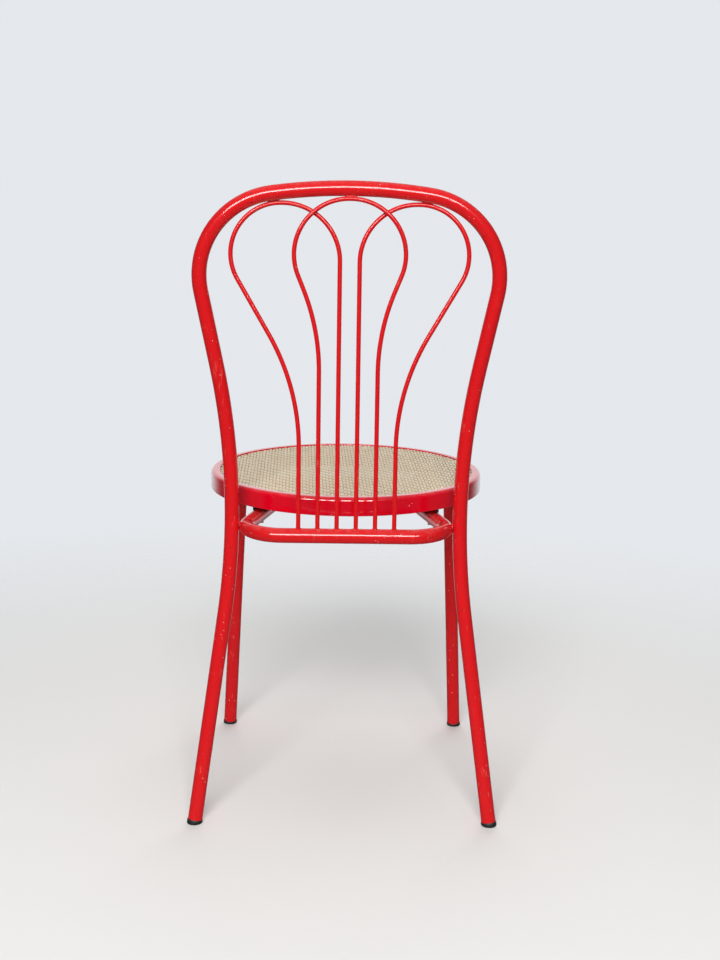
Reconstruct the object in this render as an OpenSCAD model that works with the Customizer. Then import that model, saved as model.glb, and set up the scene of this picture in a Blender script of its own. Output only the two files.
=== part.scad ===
// Cafe chair: a bent steel tube frame, three wire loops in its back and a round seat with a cane panel.
// It faces -Y with +Z up. The origin is on the floor, midway between the rim's front edge and the back of
// the rear foot caps.
// Every bent tube or wire is a list of corner points and the radius of the bend at each corner.

/* [Tube and wire] */
// Outside diameter of the frame tube
tube_od = 20; // [18:0.5:22]
// Wall thickness of the frame tube
tube_wall = 1.5; // [1.2:0.1:2]
// Diameter of the wire in the back
wire_d = 6; // [5:0.5:7]

/* [Seat] */
// Outside diameter of the seat rim
seat_d = 400; // [380:5:420]
// Height of the rim's top above the floor
seat_height = 460; // [440:5:500]
// Height of the rim
rim_height = 26; // [24:1:30]
// Width of the rim from its outside to its inside
rim_width = 60; // [56:1:66]
// Width of the rim's top band outside the cane panel
rim_band = 13; // [10:1:18]
// Rounding of the rim's top outer edge
rim_round = 6; // [3:0.5:8]
// Rounding of the rim's bottom outer edge
rim_under_round = 2; // [1:0.5:4]
// How far the rim's band stands above the cane panel
rim_lip = 1.2; // [0.5:0.1:2]
// Thickness of the cane panel
panel_thick = 3; // [2:0.5:5]

/* [Back hoop] */
// Height of the top of the back above the seat
back_rise = 423; // [390:1:450]
// Lean of the back from upright, in degrees
back_lean = 8; // [5:0.5:11]
// Half the width between the rear feet
rear_foot_x = 206; // [196:1:220]
// Rear feet behind the seat's rear edge
rear_foot_out = 34; // [25:1:50]
// Half the width between the corner points of the waist
waist_x = 142; // [138:1:150]
// Waist in front of the seat's rear edge
waist_in = 24; // [16:1:28]
// Height of the waist's corner points above the seat
waist_rise = 8; // [-10:1:20]
// Bend radius at the waist
waist_bend = 845; // [600:5:900]
// Half the width between the corner points of the shoulders
shoulder_x = 215.5; // [205:0.5:225]
// Bend radius at the shoulders
shoulder_bend = 110; // [90:1:115]
// Rise of the top from shoulder to middle, in degrees
crown_rise = 8; // [7:0.25:9]
// Bend radius of the top
crown_bend = 700; // [500:5:720]

/* [Seat bar] */
// Bend radius of the seat bar's two corners
bar_bend = 52; // [40:1:60]
// How much each side rail turns inwards, in degrees
rail_turn = 14; // [8:1:18]

/* [Front frame] */
// How much further out each front foot is than its top corner point
front_splay = 22; // [12:1:32]
// Front feet behind the seat's front edge
front_foot_in = 59; // [40:1:80]
// How much further out each top corner point is than the front screws
front_top_out = 44; // [40:1:50]
// Front frame's top behind the seat's front edge
front_top_in = 106; // [100:1:112]
// Bend radius of the front frame's top corners
front_bend = 36; // [30:1:38]

/* [Wire loops] */
// Spacing of the six wires where they meet the seat bar
wire_pitch = 25.6; // [22:0.1:27]
// Top bend radius of a side loop, next to the middle
side_inner_bend = 74; // [68:0.5:78]
// Top bend radius of a side loop, on its outside
side_outer_bend = 65; // [58:0.5:70]
// Slope of a side loop's outer wire, in degrees
side_slope = 30; // [28:0.5:34]
// Straight length of a side loop's outer wire, on its slope
side_run = 81.8; // [60:0.1:95]
// Top bend radius of the middle loop
middle_bend = 71; // [66:0.5:75]
// Slope of the middle loop's wires, in degrees
middle_slope = 22; // [20:0.5:25]
// Straight length of the middle loop's wires, on their slopes
middle_run = 20.5; // [10:0.1:30]
// Straight piece at the top of each loop
loop_flat = 2; // [1:0.5:6]

/* [Foot caps] */
// How far a cap's collar stands out around the tube
cap_lip = 0.8; // [0:0.1:3]
// Length of the collar along the leg
cap_collar = 5.5; // [5:0.5:10]
// Length of the plug inside the tube
cap_plug = 14; // [8:1:20]
// Chamfer on top of the collar
cap_chamfer = 0.6; // [0.3:0.1:1]

/* [Seat fixings] */
// Height of a spacer between the tube and the rim
spacer_height = 7; // [5:0.5:9]
// How far a spacer stands out on each side of its tube
spacer_lip = 1; // [0:0.5:3]
// How far a spacer reaches down beside the tube
spacer_skirt = 4; // [3:0.5:5]
// Diameter of a screw's shank
screw_d = 5; // [4:0.5:6]
// Depth of a screw's hole in the rim
screw_bite = 14; // [8:1:18]
// How far a screw's head stands out around its shank
screw_lip = 1.75; // [1.5:0.25:3]
// Height of a screw's head
screw_head_h = 2; // [2:0.5:4]
// Width of the cross in a screw's head
screw_cross = 1.2; // [0.8:0.1:1.6]

/* [Clearances] */
// Gap left for the weld between two welded tubes or wires
weld_gap = 0.2; // [0.1:0.05:0.4]
// Gap around the cane panel's edge
panel_gap = 0.3; // [0.1:0.1:1]
// Gap between a cap's plug and the tube's bore, on each side
plug_gap = 0.1; // [0.05:0.05:0.3]
// Gap between a spacer and its tube, and under a screw's head
seat_gap = 0.1; // [0.05:0.05:0.3]
// Gap between a screw and the hole through a tube or spacer, on each side
hole_gap = 0.25; // [0.15:0.05:0.5]
// Gap between a screw and its hole in the rim, on each side
thread_gap = 0.05; // [0.03:0.01:0.1]

/* [Shown] */
// Which sub-part to draw

/* [Hidden] */
$fn = 96;
tube_r = tube_od / 2;
wire_r = wire_d / 2;
seat_r = seat_d / 2;
cap_d = tube_od + 2 * cap_lip;
spacer_d = tube_od + 2 * spacer_lip;
screw_head_d = screw_d + 2 * screw_lip;
// A bend's radius is this much more than a straight's, as a share of the diameter.
bend_swell = 0.0065;
// How far each straight runs into its bends
bend_lap = 0.05;

// Heights
rim_under = seat_height - rim_height;
bar_z = rim_under - spacer_height - tube_r;
panel_top = seat_height - rim_lip;
back_height = seat_height + back_rise;
waist_height = seat_height + waist_rise;

// Places behind the middle of the seat or in front of it
rear_foot_back = seat_r + rear_foot_out;
waist_back = seat_r - waist_in;
front_top_fore = seat_r - front_top_in;
front_foot_fore = seat_r - front_foot_in;

// The origin is midway between the rim's front edge and the back of the rear caps.
rear_fall = (rear_foot_back - waist_back) / waist_height;
rear_reach = rear_foot_back + cap_d / 2 * sqrt(1 + rear_fall * rear_fall);
seat_y = (seat_r - rear_reach) / 2;

// Back hoop: its upper part lies in a plane that leans back from the waist.
function on_back(x, up) = [
    x,
    seat_y + waist_back + up * sin(back_lean),
    waist_height + up * cos(back_lean)
];
crown_up = (back_height - tube_r - waist_height) / cos(back_lean);
crown_corner_up = crown_up + crown_bend * (1 / cos(crown_rise) - 1);
shoulder_up = crown_corner_up - shoulder_x * tan(crown_rise);
rear_foot = [rear_foot_x, seat_y + rear_foot_back, 0];
waist = on_back(waist_x, 0);
shoulder = on_back(shoulder_x, shoulder_up);
crown = on_back(0, crown_corner_up);

// The point where the waist bend passes a given height
leg_in = unit(waist - rear_foot);
leg_out = unit(shoulder - waist);
waist_normal = unit(leg_out - leg_in * (leg_in * leg_out));
waist_set = waist_bend * tan(acos(leg_in * leg_out) / 2);
waist_centre = waist - leg_in * waist_set + waist_normal * waist_bend;
function waist_at(z) = let (
    swing = waist_bend * norm([leg_in.z, waist_normal.z]),
    turn = asin((z - waist_centre.z) / swing) + atan2(waist_normal.z, leg_in.z)
) waist_centre + waist_bend * (leg_in * sin(turn) - waist_normal * cos(turn));

// Seat bar: each corner's outermost point is welded to a leg's inner side.
bar_weld = waist_at(bar_z);
bar_x = bar_weld.x - 2 * bend_r(tube_od) - weld_gap;
bar_y = bar_weld.y + bar_bend;
bar_corner_x = bar_x + bar_bend * (tan(45 + rail_turn / 2) - 1);
front_y = seat_y - front_top_fore;
rail_slope = tan(rail_turn);
rail_end_x = bar_corner_x - (bar_y - front_y) * rail_slope;

// Seat screws, right side: [x, y, turn of the tube below, in degrees]
// The rear ones go up from the rails into the middle of the rim's width.
rear_screw_reach = seat_r - rim_width / 2;
rail_mid_x = bar_corner_x - (bar_y - seat_y) * rail_slope;
rear_screw_back = (
    sqrt(rear_screw_reach * rear_screw_reach * (1 + rail_slope * rail_slope) - rail_mid_x * rail_mid_x)
    - rail_mid_x * rail_slope
) / (1 + rail_slope * rail_slope);
rear_screw = [rail_mid_x + rear_screw_back * rail_slope, seat_y + rear_screw_back, 90 - rail_turn];
// The front ones go up from the cross tube where its spacers just reach the rim's inside.
front_screw_reach = seat_r - rim_width + spacer_d / 2;
front_screw_x = sqrt(front_screw_reach * front_screw_reach - front_top_fore * front_top_fore);
front_screw = [front_screw_x, front_y, 0];
spacer_saddle_r = bend_r(tube_od) + seat_gap;
screw_head_top = bar_z - spacer_saddle_r;

// Front frame
front_top_x = front_screw_x + front_top_out;
front_foot = [front_top_x + front_splay, seat_y - front_foot_fore, 0];
front_corner = [front_top_x, front_y, bar_z];

// Radius of the bend at the foot of a slope that leaves a straight run below the slope's top bend
function low_bend(slope_x, slope, top_bend, run) =
    (slope_x / sin(slope) - top_bend * tan(45 + slope / 2) - run) / tan(slope / 2);

// Wire loops: each stands on the seat bar and tilts so that its top lies under the hoop's crown.
crown_z = back_height - tube_r;
crown_y = on_back(0, crown_up).y;
loop_foot_z = bar_z;
// The middle loop passes behind the side loops where they cross.
loop_stagger = bend_r(wire_d) + weld_gap / 2;
loop_reach = bend_r(tube_od) + bend_r(wire_d) + weld_gap;
loop_drop = sqrt(loop_reach * loop_reach - loop_stagger * loop_stagger);
middle_top = crown_z - loop_drop;
side_flat_end = wire_pitch / 2 + side_inner_bend + loop_flat;
side_centre_reach = crown_bend - side_outer_bend - loop_drop;
side_centre_z = crown_z - crown_bend
    + sqrt(side_centre_reach * side_centre_reach - side_flat_end * side_flat_end);
side_top = side_centre_z + side_outer_bend;
side_corner_x = side_flat_end + side_outer_bend * tan(45 + side_slope / 2);
side_slope_x = side_corner_x - 2.5 * wire_pitch;
side_knee_z = side_top - side_slope_x / tan(side_slope);
side_low_bend = low_bend(side_slope_x, side_slope, side_outer_bend, side_run);
middle_corner_x = loop_flat / 2 + middle_bend * tan(45 + middle_slope / 2);
middle_slope_x = middle_corner_x - 1.5 * wire_pitch;
middle_knee_z = middle_top - middle_slope_x / tan(middle_slope);
middle_low_bend = low_bend(middle_slope_x, middle_slope, middle_bend, middle_run);

steel_red = [0.78, 0.06, 0.05];
rim_red = [0.76, 0.0, 0.07];
cane_straw = [0.78, 0.71, 0.56];
cap_black = [0.04, 0.04, 0.04];
spacer_black = [0.06, 0.06, 0.06];
zinc_grey = [0.62, 0.63, 0.64];

// ---- Bending tube and wire ----

function unit(v) = v / norm(v);
function bend_r(od) = od * (0.5 + bend_swell);
function mirrored(p) = [-p.x, p.y, p.z];
function across(d) = abs(d.z) > 0.9 ? unit(cross([0, 1, 0], d)) : unit(cross([0, 0, 1], d));

// Puts the origin at a point, +Z along d and +X along n.
module stood_at(point, n, d) {
    b = cross(d, n);
    multmatrix([
        [n.x, b.x, d.x, point.x],
        [n.y, b.y, d.y, point.y],
        [n.z, b.z, d.z, point.z],
        [0, 0, 0, 1]
    ])
        children();
}

// Ring section of a tube, or the disc of a solid wire
module section(od, bore) {
    difference() {
        circle(d = od);
        if (bore > 0) circle(d = bore);
    }
}

module straight(start, finish, od, bore) {
    d = unit(finish - start);
    stood_at(start, across(d), d)
        linear_extrude(norm(finish - start))
            section(od, bore);
}

function bend_angle(before, corner, after) = acos(unit(corner - before) * unit(after - corner));

// How far from its corner point a bend starts
function bend_set(points, radii, i) =
    i == 0 || i == len(points) - 1
        ? 0
        : radii[i - 1] * tan(bend_angle(points[i - 1], points[i], points[i + 1]) / 2);

module bend(before, corner, after, radius, od, bore) {
    a = unit(corner - before);
    b = unit(after - corner);
    angle = acos(a * b);
    inward = unit(b - a * (a * b));
    centre = corner - a * radius * tan(angle / 2) + inward * radius;
    stood_at(centre, -inward, cross(-inward, a))
        rotate_extrude(angle = angle)
            translate([radius, 0])
                section(2 * bend_r(od), bore > 0 ? bore - 2 * bend_swell * od : 0);
}

module bent(points, radii, od, bore) {
    last = len(points) - 1;
    for (i = [0 : last - 1]) {
        d = unit(points[i + 1] - points[i]);
        start_lap = i > 0 ? bend_lap : 0;
        finish_lap = i < last - 1 ? bend_lap : 0;
        straight(
            points[i] + d * (bend_set(points, radii, i) - start_lap),
            points[i + 1] - d * (bend_set(points, radii, i + 1) - finish_lap),
            od,
            bore
        );
    }
    for (i = [1 : last - 1])
        bend(points[i - 1], points[i], points[i + 1], radii[i - 1], od, bore);
}

module bent_tube(points, radii) {
    bent(points, radii, tube_od, tube_od - 2 * tube_wall);
}

// ---- Frame ----

module back_hoop() {
    start = rear_foot + leg_in * cap_collar;
    color(steel_red)
        bent_tube(
            [start, waist, shoulder, crown, mirrored(shoulder), mirrored(waist), mirrored(start)],
            [waist_bend, shoulder_bend, crown_bend, shoulder_bend, waist_bend]
        );
}

// Vertical hole through a tube for a seat screw
module screw_hole(at, bottom, top, gap) {
    translate([at.x, at.y, bottom])
        cylinder(d = screw_d + 2 * gap, h = top - bottom);
}

module seat_bar() {
    right_corner = [bar_corner_x, bar_y, bar_z];
    right_end = [rail_end_x, front_y, bar_z];
    color(steel_red)
        difference() {
            bent_tube(
                [right_end, right_corner, mirrored(right_corner), mirrored(right_end)],
                [bar_bend, bar_bend]
            );
            // The rails' ends are cut to fit the front frame's cross tube.
            translate([0, front_y, bar_z])
                rotate([0, 90, 0])
                    cylinder(r = tube_r + weld_gap, h = 4 * bar_x, center = true);
            for (side = [1, -1])
                screw_hole([side * rear_screw.x, rear_screw.y], bar_z - tube_od, bar_z + tube_od, hole_gap);
        }
}

module front_frame() {
    up = unit(front_corner - front_foot);
    start = front_foot + up * cap_collar;
    color(steel_red)
        difference() {
            bent_tube(
                [start, front_corner, mirrored(front_corner), mirrored(start)],
                [front_bend, front_bend]
            );
            for (side = [1, -1])
                screw_hole([side * front_screw.x, front_screw.y], bar_z - tube_od, bar_z + tube_od, hole_gap);
        }
}

// ---- Wire loops ----

// Stands a loop drawn in the XZ plane on the seat bar, with its top at the given depth.
module loop_on_bar(top_y, top_z) {
    tilt = atan2(top_y - bar_y, top_z - loop_foot_z);
    difference() {
        translate([0, bar_y, loop_foot_z])
            rotate([-tilt, 0, 0])
                translate([0, 0, -loop_foot_z])
                    children();
        // The wires' ends are cut to fit the seat bar.
        translate([0, bar_y, bar_z])
            rotate([0, 90, 0])
                cylinder(r = tube_r + weld_gap, h = 8 * wire_pitch, center = true);
    }
}

module side_loop(side) {
    inner_x = side * wire_pitch / 2;
    outer_x = side * 2.5 * wire_pitch;
    corner_x = side * side_corner_x;
    color(steel_red)
        loop_on_bar(crown_y - loop_stagger, side_top)
            bent(
                [
                    [inner_x, 0, loop_foot_z],
                    [inner_x, 0, side_top],
                    [corner_x, 0, side_top],
                    [outer_x, 0, side_knee_z],
                    [outer_x, 0, loop_foot_z]
                ],
                [side_inner_bend, side_outer_bend, side_low_bend],
                wire_d,
                0
            );
}

module wire_loop_left() {
    side_loop(1);
}

module wire_loop_right() {
    side_loop(-1);
}

module wire_loop_middle() {
    foot = [1.5 * wire_pitch, 0, loop_foot_z];
    knee = [1.5 * wire_pitch, 0, middle_knee_z];
    corner = [middle_corner_x, 0, middle_top];
    color(steel_red)
        loop_on_bar(crown_y + loop_stagger, middle_top)
            bent(
                [foot, knee, corner, mirrored(corner), mirrored(knee), mirrored(foot)],
                [middle_low_bend, middle_bend, middle_bend, middle_low_bend],
                wire_d,
                0
            );
}

// ---- Seat ----

// Rounds off the corner at a point of a profile that lies to its left, above or below.
module corner_cut(x, y, radius, up) {
    translate([x - radius, y - up * radius])
        difference() {
            translate([0, up > 0 ? 0 : -radius - 1]) square([radius + 1, radius + 1]);
            circle(r = radius);
        }
}

module seat_rim() {
    color(rim_red)
        difference() {
            translate([0, seat_y, rim_under])
                rotate_extrude()
                    difference() {
                        translate([seat_r - rim_width, 0]) square([rim_width, rim_height]);
                        // Rebate that the cane panel lies in
                        translate([seat_r - rim_width - 1, rim_height - rim_lip - panel_thick])
                            square([rim_width + 1 - rim_band, rim_height]);
                        corner_cut(seat_r, rim_height, rim_round, 1);
                        corner_cut(seat_r, 0, rim_under_round, -1);
                    }
            for (side = [1, -1], screw = [rear_screw, front_screw])
                screw_hole([side * screw.x, screw.y], rim_under - 1, rim_under + screw_bite, thread_gap);
        }
}

module cane_panel() {
    color(cane_straw)
        translate([0, seat_y, panel_top - panel_thick])
            cylinder(r = seat_r - rim_band - panel_gap, h = panel_thick);
}

// ---- Seat fixings ----

// Spacer whose underside fits over the tube it stands on
module spacer(side, at) {
    bottom = bar_z + tube_r - spacer_skirt;
    color(spacer_black)
        difference() {
            translate([side * at.x, at.y, bottom])
                cylinder(d = spacer_d, h = rim_under - bottom);
            translate([side * at.x, at.y, bar_z])
                rotate([0, 0, side * at.z])
                    rotate([0, 90, 0])
                        cylinder(r = spacer_saddle_r, h = 2 * spacer_d, center = true);
            screw_hole([side * at.x, at.y], bottom - 1, rim_under + 1, hole_gap);
        }
}

module spacer_rear_left() {
    spacer(1, rear_screw);
}

module spacer_rear_right() {
    spacer(-1, rear_screw);
}

module spacer_front_left() {
    spacer(1, front_screw);
}

module spacer_front_right() {
    spacer(-1, front_screw);
}

// Pan-head screw driven up through the tube and spacer into the rim
module seat_screw(x, y) {
    head_bottom = screw_head_top - screw_head_h;
    translate([x, y, head_bottom])
        difference() {
            union() {
                cylinder(d = screw_head_d, h = screw_head_h);
                cylinder(d = screw_d, h = rim_under + screw_bite - 1 - head_bottom);
            }
            for (turn = [0, 90])
                rotate([0, 0, turn])
                    cube([screw_head_d * 0.6, screw_cross, screw_head_h], center = true);
        }
}

module rear_seat_screws() {
    color(zinc_grey)
        for (side = [1, -1])
            seat_screw(side * rear_screw.x, rear_screw.y);
}

module front_seat_screws() {
    color(zinc_grey)
        for (side = [1, -1])
            seat_screw(side * front_screw.x, front_screw.y);
}

// ---- Foot caps ----

// Cap whose plug fits inside the leg and whose collar is cut level with the floor
module foot_cap(foot, above) {
    up = unit(above - foot);
    plug_d = tube_od - 2 * tube_wall - 2 * plug_gap;
    color(cap_black)
        difference() {
            stood_at(foot, across(up), up) {
                translate([0, 0, -cap_collar])
                    cylinder(d = cap_d, h = 2 * cap_collar - cap_chamfer);
                translate([0, 0, cap_collar - cap_chamfer])
                    cylinder(d1 = cap_d, d2 = cap_d - 2 * cap_chamfer, h = cap_chamfer);
                cylinder(d = plug_d, h = cap_collar + cap_plug);
            }
            translate([foot.x, foot.y, -cap_d])
                cube(2 * cap_d, center = true);
        }
}

module foot_cap_rear_left() {
    foot_cap(rear_foot, waist);
}

module foot_cap_rear_right() {
    foot_cap(mirrored(rear_foot), mirrored(waist));
}

module foot_cap_front_left() {
    foot_cap(front_foot, front_corner);
}

module foot_cap_front_right() {
    foot_cap(mirrored(front_foot), mirrored(front_corner));
}

back_hoop();
seat_bar();
front_frame();
wire_loop_left();
wire_loop_middle();
wire_loop_right();
seat_rim();
cane_panel();
spacer_rear_left();
spacer_rear_right();
spacer_front_left();
spacer_front_right();
rear_seat_screws();
front_seat_screws();
foot_cap_rear_left();
foot_cap_rear_right();
foot_cap_front_left();
foot_cap_front_right();
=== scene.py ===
import math
import random

import bmesh
import bpy
from mathutils import Matrix, Vector


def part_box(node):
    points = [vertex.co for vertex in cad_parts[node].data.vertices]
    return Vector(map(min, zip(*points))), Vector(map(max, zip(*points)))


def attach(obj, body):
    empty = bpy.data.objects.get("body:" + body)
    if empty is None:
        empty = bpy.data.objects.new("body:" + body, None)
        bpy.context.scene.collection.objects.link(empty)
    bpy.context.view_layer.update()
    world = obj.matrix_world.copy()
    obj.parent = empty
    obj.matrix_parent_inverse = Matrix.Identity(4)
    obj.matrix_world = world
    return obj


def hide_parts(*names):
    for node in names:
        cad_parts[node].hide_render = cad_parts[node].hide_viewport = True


# Cafe chair of bent red tube with wire loops in its back and a round seat of woven cane.
# It faces -Y with +Z up, in metres.

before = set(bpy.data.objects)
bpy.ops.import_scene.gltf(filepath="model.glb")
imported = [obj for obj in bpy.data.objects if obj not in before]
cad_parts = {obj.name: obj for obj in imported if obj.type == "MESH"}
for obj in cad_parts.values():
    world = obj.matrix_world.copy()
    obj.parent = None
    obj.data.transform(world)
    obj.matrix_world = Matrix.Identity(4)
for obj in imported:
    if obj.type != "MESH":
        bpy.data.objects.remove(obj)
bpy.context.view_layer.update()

# ---- Sizes the chair is bent and turned to ----

TUBE_R = 0.010
WIRE_R = 0.003
# The CAD's bends are this share fatter than its straights.
BEND_SHARE = 0.013
BEND_SWELL = TUBE_R * BEND_SHARE

rim_low, rim_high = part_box("seat_rim")
panel_low, panel_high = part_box("cane_panel")
bar_low, bar_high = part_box("seat_bar")
cross_low, cross_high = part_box("front_frame")
hoop_low, hoop_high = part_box("back_hoop")

seat_mid = (rim_low + rim_high) / 2
seat_r = (rim_high.x - rim_low.x) / 2
seat_top = rim_high.z
rim_under = rim_low.z
panel_top = panel_high.z
bar_z = (bar_low.z + bar_high.z) / 2
bar_y = bar_high.y - TUBE_R - BEND_SWELL
cross_y = cross_high.y - TUBE_R - BEND_SWELL
hoop_top = hoop_high.z - TUBE_R - BEND_SWELL

BACK_LEAN = math.radians(8)
CROWN_RISE = math.radians(8)
CROWN_BEND = 0.700
SHOULDER_X, SHOULDER_BEND = 0.2155, 0.110
WAIST_X, WAIST_BEND = 0.142, 0.845
WAIST_BACK, WAIST_RISE = 0.176, 0.008
REAR_FOOT_X, REAR_FOOT_BACK = 0.206, 0.234
FRONT_FOOT_SPLAY, FRONT_FOOT_FORE = 0.022, 0.141
FRONT_TOP_OUT, FRONT_BEND = 0.044, 0.036
BAR_BEND, RAIL_TURN = 0.052, math.radians(14)
WIRE_PITCH = 0.0256
COLLAR = 0.0055
COLLAR_R = 0.0108
PLUG_R = 0.0084


def mirrored(p):
    return Vector((-p.x, p.y, p.z))


def on_back(x, up):
    return Vector((
        x,
        seat_mid.y + WAIST_BACK + up * math.sin(BACK_LEAN),
        seat_top + WAIST_RISE + up * math.cos(BACK_LEAN),
    ))


crown_up = (hoop_top - seat_top - WAIST_RISE) / math.cos(BACK_LEAN)
crown_corner_up = crown_up + CROWN_BEND * (1 / math.cos(CROWN_RISE) - 1)
rear_foot = Vector((REAR_FOOT_X, seat_mid.y + REAR_FOOT_BACK, 0))
waist = on_back(WAIST_X, 0)
shoulder = on_back(SHOULDER_X, crown_corner_up - SHOULDER_X * math.tan(CROWN_RISE))
crown = on_back(0, crown_corner_up)
crown_y = on_back(0, crown_up).y

bar_x = bar_high.x - TUBE_R - BEND_SWELL
bar_corner = Vector((bar_x + BAR_BEND * (math.tan(math.pi / 4 + RAIL_TURN / 2) - 1), bar_y, bar_z))
rail_end = Vector((bar_corner.x - (bar_y - cross_y) * math.tan(RAIL_TURN), cross_y, bar_z))

front_spacer_low, front_spacer_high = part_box("spacer_front_left")
front_screw_x = (front_spacer_low.x + front_spacer_high.x) / 2
front_corner = Vector((front_screw_x + FRONT_TOP_OUT, cross_y, bar_z))
front_foot = Vector((front_corner.x + FRONT_FOOT_SPLAY, seat_mid.y - FRONT_FOOT_FORE, 0))


# ---- Bending and turning ----


def bent_line(corners, radii, reach=0.004, turn=math.radians(4)):
    """Points and directions along a line through corner points, with a round bend at each inner corner."""
    line = []

    def go_straight(start, finish):
        d = (finish - start).normalized()
        count = max(1, round((finish - start).length / 0.02))
        line.extend((start.lerp(finish, k / count), d) for k in range(count + 1))

    here = corners[0]
    for before, corner, after, radius in zip(corners, corners[1:], corners[2:], radii):
        a, b = (corner - before).normalized(), (after - corner).normalized()
        angle = a.angle(b)
        back_off = radius * math.tan(angle / 2)
        go_straight(here, corner - a * back_off)
        inward = (b - a * a.dot(b)).normalized()
        centre = corner - a * back_off + inward * radius
        count = max(4, math.ceil(angle / turn), math.ceil(angle * radius / (4 * reach)))
        for k in range(1, count):
            t = angle * k / count
            line.append((
                centre + inward * (-radius * math.cos(t)) + a * (radius * math.sin(t)),
                a * math.cos(t) + inward * math.sin(t),
            ))
        here = corner + b * back_off
    go_straight(here, corners[-1])
    return line


def cope(point, direction, axis_point, radius):
    """Slides a point along a direction until it lies on a round bar that runs along X, on its near side."""
    d = Vector((0, direction.y, direction.z))
    p = Vector((0, point.y - axis_point.y, point.z - axis_point.z))
    a, b, c = d.dot(d), 2 * p.dot(d), p.dot(p) - radius * radius
    root = math.sqrt(max(b * b - 4 * a * c, 0))
    return point + direction * ((-b - root) / (2 * a))


class Shape:
    """Points and faces of one piece, gathered from several rings, lathes and beads."""

    def __init__(self):
        self.points, self.faces = [], []

    def skin(self, rings, closed_ends=True, joined=False):
        """Skins a row of rings, each with the same number of points."""
        start, n = len(self.points), len(rings[0])
        for ring in rings:
            self.points.extend(ring)
        last = len(rings) if joined else len(rings) - 1
        for i in range(last):
            a, b = start + i * n, start + (i + 1) % len(rings) * n
            for k in range(n):
                self.faces.append((a + k, a + (k + 1) % n, b + (k + 1) % n, b + k))
        if closed_ends and not joined:
            self.faces.append(tuple(start + k for k in reversed(range(n))))
            self.faces.append(tuple(start + (len(rings) - 1) * n + k for k in range(n)))

    def tube(self, line, radius, around=40, start_cope=None, finish_cope=None):
        """A tube or wire along a bent line. Either end may be cut to fit a round bar along X."""
        d = line[0][1]
        side = d.orthogonal().normalized()
        rings = []
        for i, (p, d) in enumerate(line):
            side = (side - d * side.dot(d)).normalized()
            up = d.cross(side)
            r = radius(i / (len(line) - 1)) if callable(radius) else radius
            rings.append([
                p + (side * math.cos(t) + up * math.sin(t)) * r
                for t in (2 * math.pi * k / around for k in range(around))
            ])
        if start_cope:
            rings[0] = [cope(p, -line[0][1], *start_cope) for p in rings[1]]
        if finish_cope:
            rings[-1] = [cope(p, line[-1][1], *finish_cope) for p in rings[-2]]
        self.skin(rings, closed_ends=True)
        return rings

    def bead(self, path, size, rng, closed=False, around=10):
        """A run of weld metal along a path: its size swells and falls as it was laid."""
        line, count = [], len(path)
        for i, p in enumerate(path):
            q = path[(i + 1) % count] if closed or i < count - 1 else p
            o = path[i - 1] if closed or i > 0 else p
            line.append((p, (q - o).normalized()))
        phase = rng.uniform(0, 6.28)
        d, rings = line[0][1], []
        side = d.orthogonal().normalized()
        for i, (p, d) in enumerate(line):
            side = (side - d * side.dot(d)).normalized()
            up = d.cross(side)
            ripple = 1 + 0.16 * math.sin(i * 1.9 + phase) + rng.uniform(-0.08, 0.08)
            if not closed:
                s = min(i, count - 1 - i) / (count / 2)
                ripple *= 0.25 + 0.75 * math.sin(min(1, s * 1.6) * math.pi / 2)
            rings.append([
                p + (side * math.cos(t) + up * math.sin(t)) * size * ripple
                for t in (2 * math.pi * k / around for k in range(around))
            ])
        if closed:
            turned = min(
                range(around),
                key=lambda k: (rings[-1][k] - rings[0][0]).length,
            )
            rings[-1] = rings[-1][turned:] + rings[-1][:turned]
            rings[-1] = [a.lerp(b, 0.5) for a, b in zip(rings[-1], rings[0])]
        self.skin(rings, closed_ends=not closed, joined=closed)

    def lathe(self, profile, centre, around=256):
        """Turns a closed profile of (radius, height) points about a vertical axis."""
        rings = [
            [
                centre + Vector((r * math.cos(a), r * math.sin(a), z))
                for r, z in profile
            ]
            for a in (2 * math.pi * k / around for k in range(around))
        ]
        self.skin(rings, joined=True)

    def piece(self, name, material, slot, sharp=40):
        mesh = bpy.data.meshes.new(name)
        mesh.from_pydata([tuple(p) for p in self.points], [], self.faces)
        mesh.validate()
        outwards = bmesh.new()
        outwards.from_mesh(mesh)
        bmesh.ops.recalc_face_normals(outwards, faces=outwards.faces)
        outwards.to_mesh(mesh)
        outwards.free()
        mesh.shade_smooth()
        mesh.set_sharp_from_angle(angle=math.radians(sharp))
        made = bpy.data.objects.new(name, mesh)
        bpy.context.scene.collection.objects.link(made)
        made.data.materials.append(material)
        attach(made, "root")
        return made


# ---- Shader groups that several finishes share ----


def place(tree, kind, inputs=None, **settings):
    """Adds a node, sets what is given, and links any input that is given as an output."""
    made = tree.nodes.new(kind)
    for key, value in settings.items():
        setattr(made, key, value)
    for key, value in (inputs or {}).items():
        socket = made.inputs[key]
        if isinstance(value, bpy.types.NodeSocket):
            tree.links.new(value, socket)
        else:
            socket.default_value = value
    return made


def math_node(tree, operation, *values, clamp=False):
    given = dict(enumerate(values))
    return place(tree, "ShaderNodeMath", given, operation=operation, use_clamp=clamp).outputs[0]


def ramp(tree, value, low, high):
    """0 below low and 1 above high, smooth in between."""
    return place(
        tree, "ShaderNodeMapRange",
        {"Value": value, "From Min": low, "From Max": high},
        interpolation_type="SMOOTHSTEP",
    ).outputs["Result"]


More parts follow.
